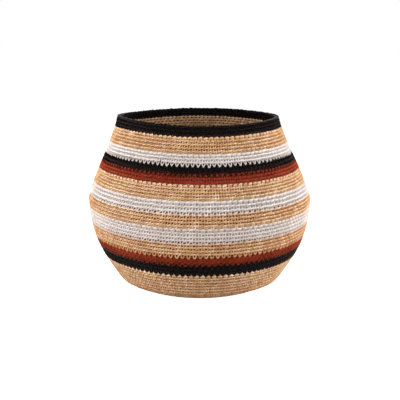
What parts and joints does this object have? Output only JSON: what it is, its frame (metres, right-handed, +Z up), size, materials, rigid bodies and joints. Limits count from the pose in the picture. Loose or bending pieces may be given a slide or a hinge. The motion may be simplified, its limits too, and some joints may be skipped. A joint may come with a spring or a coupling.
{
  "type": "round-bellied crocheted basket",
  "caption": "Open round-bellied storage basket, crocheted in rounds, with stripes in natural, white, red and black yarn, a small flat base and a narrower mouth.",
  "frame": {"origin": "middle of the underside of the flat base", "axes": "+Z up through the mouth; X and Y level, the basket is round about Z"},
  "size_m": [0.33, 0.33, 0.252],
  "materials": {
    "natural_yarn": "matt crocheted seagrass yarn",
    "white_yarn": "matt crocheted yarn, off-white",
    "red_yarn": "matt crocheted yarn, brick red",
    "black_yarn": "matt crocheted yarn, black"
  },
  "bodies": {
    "root": {"base_disc": "natural_yarn", "natural_heel_band": "natural_yarn", "natural_foot_band": "natural_yarn", "black_hip_band": "black_yarn", "red_hip_band": "red_yarn", "natural_lower_belly_band": "natural_yarn", "white_lower_belly_band": "white_yarn", "natural_belly_band": "natural_yarn", "white_upper_belly_band": "white_yarn", "natural_shoulder_band": "natural_yarn", "red_shoulder_band": "red_yarn", "black_shoulder_band": "black_yarn", "white_neck_band": "white_yarn", "natural_neck_band": "natural_yarn", "black_rim": "black_yarn"}
  },
  "joints": []
}
